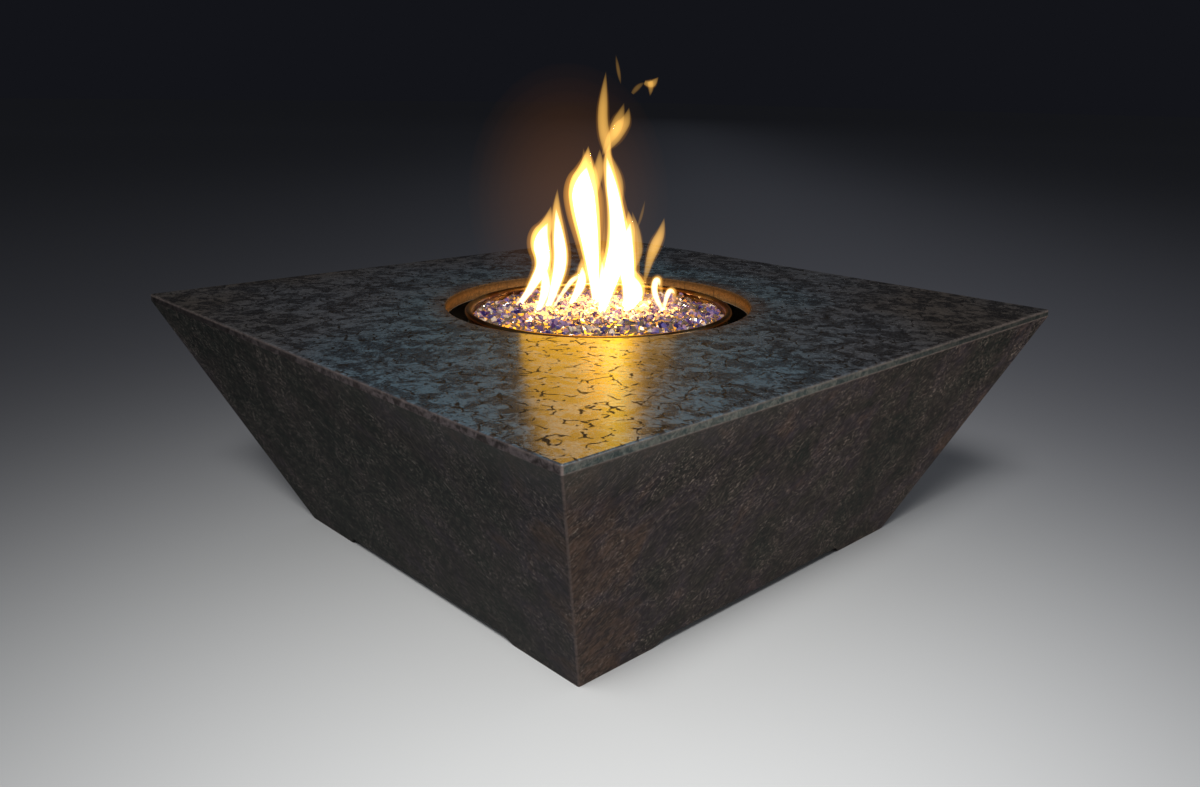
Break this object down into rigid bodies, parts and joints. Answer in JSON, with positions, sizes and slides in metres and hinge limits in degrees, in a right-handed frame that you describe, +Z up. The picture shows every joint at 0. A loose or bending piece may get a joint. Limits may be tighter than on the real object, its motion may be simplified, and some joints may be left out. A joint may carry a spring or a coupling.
{
  "type": "gas fire table",
  "caption": "Low square concrete fire table with leaning sides, a round drop-in gas burner under fire glass, and a key valve behind.",
  "frame": {"origin": "on the floor at the centre of the base, under the middle of the burner", "axes": "+Z up; X and Y along the sides of the square; +Y is the rear, where the key valve is"},
  "size_m": [1.2192, 1.2192, 0.4572],
  "materials": {
    "polished_concrete": "satin",
    "zinc_steel": "satin",
    "galvanised_steel": "matte",
    "stainless_pan": "satin",
    "stainless_burner": "satin",
    "gasket_fibre": "matte",
    "black_pipe": "satin",
    "brass": "satin",
    "seal_white": "satin",
    "chromed_ball": "polished",
    "chrome_plate": "polished",
    "stainless_hose": "satin",
    "fire_glass": "gloss"
  },
  "bodies": {
    "table": {"concrete_body": "polished_concrete", "threaded_inserts": "zinc_steel", "support_brackets": "galvanised_steel", "bolt_washers": "zinc_steel", "bracket_bolts": "zinc_steel", "burner_pan": "stainless_pan", "burner_outer_ring": "stainless_burner", "burner_inner_ring": "stainless_burner", "burner_spokes": "stainless_burner", "burner_hub": "stainless_burner", "pan_gasket": "gasket_fibre", "pan_locknut": "zinc_steel", "inlet_nipple": "black_pipe", "burner_elbow": "brass", "gas_jet": "brass", "valve_body": "brass", "stem_packing": "seal_white", "packing_gland": "brass", "valve_end_cap": "brass", "ball_seats": "seal_white", "valve_washer": "zinc_steel", "valve_locknut": "brass", "escutcheon": "chrome_plate", "inlet_elbow": "brass", "outlet_adapter": "brass", "hose_nuts": "brass", "flex_hose": "stainless_hose", "fire_glass": "fire_glass"},
    "valve_stem": {"valve_ball": "chromed_ball", "valve_stem": "brass"},
    "valve_key": {"key_shaft": "chrome_plate", "key_handle": "chrome_plate"}
  },
  "joints": [
    {"name": "valve_turn", "type": "hinge", "parent": "table", "child": "valve_stem", "pos_m": [-0.18, 0.54354, 0.3], "axis": [0, 0.9095, -0.4158], "range_deg": [-90, 0]},
    {"name": "key_pull", "type": "slide", "parent": "valve_stem", "child": "valve_key", "axis": [0, 0.9095, -0.4158], "range_m": [0, 0.06]}
  ]
}
